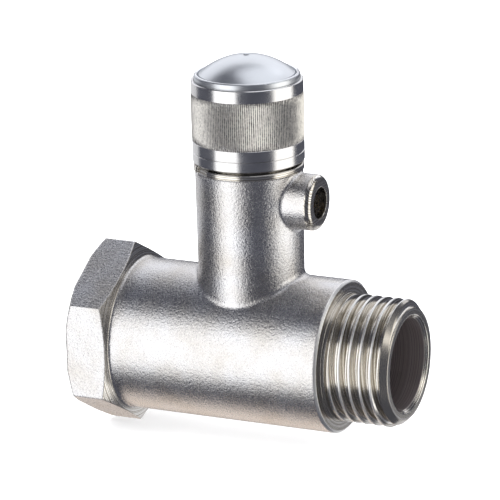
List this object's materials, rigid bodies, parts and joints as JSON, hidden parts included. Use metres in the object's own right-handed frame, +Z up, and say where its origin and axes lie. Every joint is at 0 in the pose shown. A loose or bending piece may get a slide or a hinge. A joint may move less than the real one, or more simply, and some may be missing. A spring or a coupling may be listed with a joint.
{
  "type": "water heater safety valve",
  "caption": "Tee-shaped nickel-plated safety valve: hexagon female end, male threaded end, upright neck with a knurled test cap, and a side discharge spout.",
  "frame": {"origin": "centre of the female thread's mouth, on the pipe axis, in the plane of the hexagon's end face", "axes": "+X along the pipe from the female end to the male end, +Z up the relief neck, +Y completes the right-handed set"},
  "size_m": [0.0554, 0.027, 0.0648],
  "materials": {
    "nickel_body": "cast brass, satin nickel plate",
    "nickel_cap": "turned and knurled brass, bright nickel plate",
    "steel_disc": "pressed stainless sheet, satin",
    "spring_steel": "drawn stainless spring wire",
    "steel_washer": "stamped stainless sheet",
    "turned_brass": "turned brass, bright",
    "seal_rubber": "moulded nitrile rubber, matt",
    "gasket_rubber": "cut sheet rubber, matt",
    "dark_plastic": "moulded acetal, matt black"
  },
  "bodies": {
    "root": {"body": "nickel_body", "adjusting_screw": "turned_brass", "stem_o_ring": "seal_rubber", "spring_washer": "steel_washer", "relief_spring": "spring_steel", "check_guide": "dark_plastic", "check_circlip": "spring_steel", "check_spring": "spring_steel", "heater_gasket": "gasket_rubber"},
    "cap": {"knurled_cap": "nickel_cap", "cap_disc": "steel_disc", "retaining_wire": "spring_steel"},
    "lifter": {"lift_plate": "turned_brass"},
    "stem": {"relief_stem": "turned_brass", "disc_holder": "turned_brass", "relief_seal": "seal_rubber", "seal_screw": "turned_brass", "stem_nut": "turned_brass"},
    "poppet": {"check_poppet": "dark_plastic", "check_seal": "seal_rubber", "check_seal_washer": "steel_washer", "check_nut": "turned_brass"}
  },
  "joints": [
    {"name": "cap_turn", "type": "hinge", "parent": "root", "child": "cap", "pos_m": [0.02765, 0, 0.038], "axis": [0, 0, 1], "range_deg": [0, 90]},
    {"name": "test_lift", "type": "slide", "parent": "root", "child": "lifter", "axis": [0, 0, 1], "range_m": [0, 0.0015]},
    {"name": "relief_lift", "type": "slide", "parent": "lifter", "child": "stem", "axis": [0, 0, 1], "range_m": [0, 0.0012], "stiffness_N_per_m": 200, "springref_m": -0.003, "deforming": ["relief_spring"]},
    {"name": "check_slide", "type": "slide", "parent": "root", "child": "poppet", "axis": [-1, 0, 0], "range_m": [0, 0.0035], "stiffness_N_per_m": 100, "springref_m": -0.005, "deforming": ["check_spring"]}
  ],
  "couplings": [
    {"joint": "test_lift", "follows": "cap_turn", "m_per_rad": 0.00095493}
  ]
}
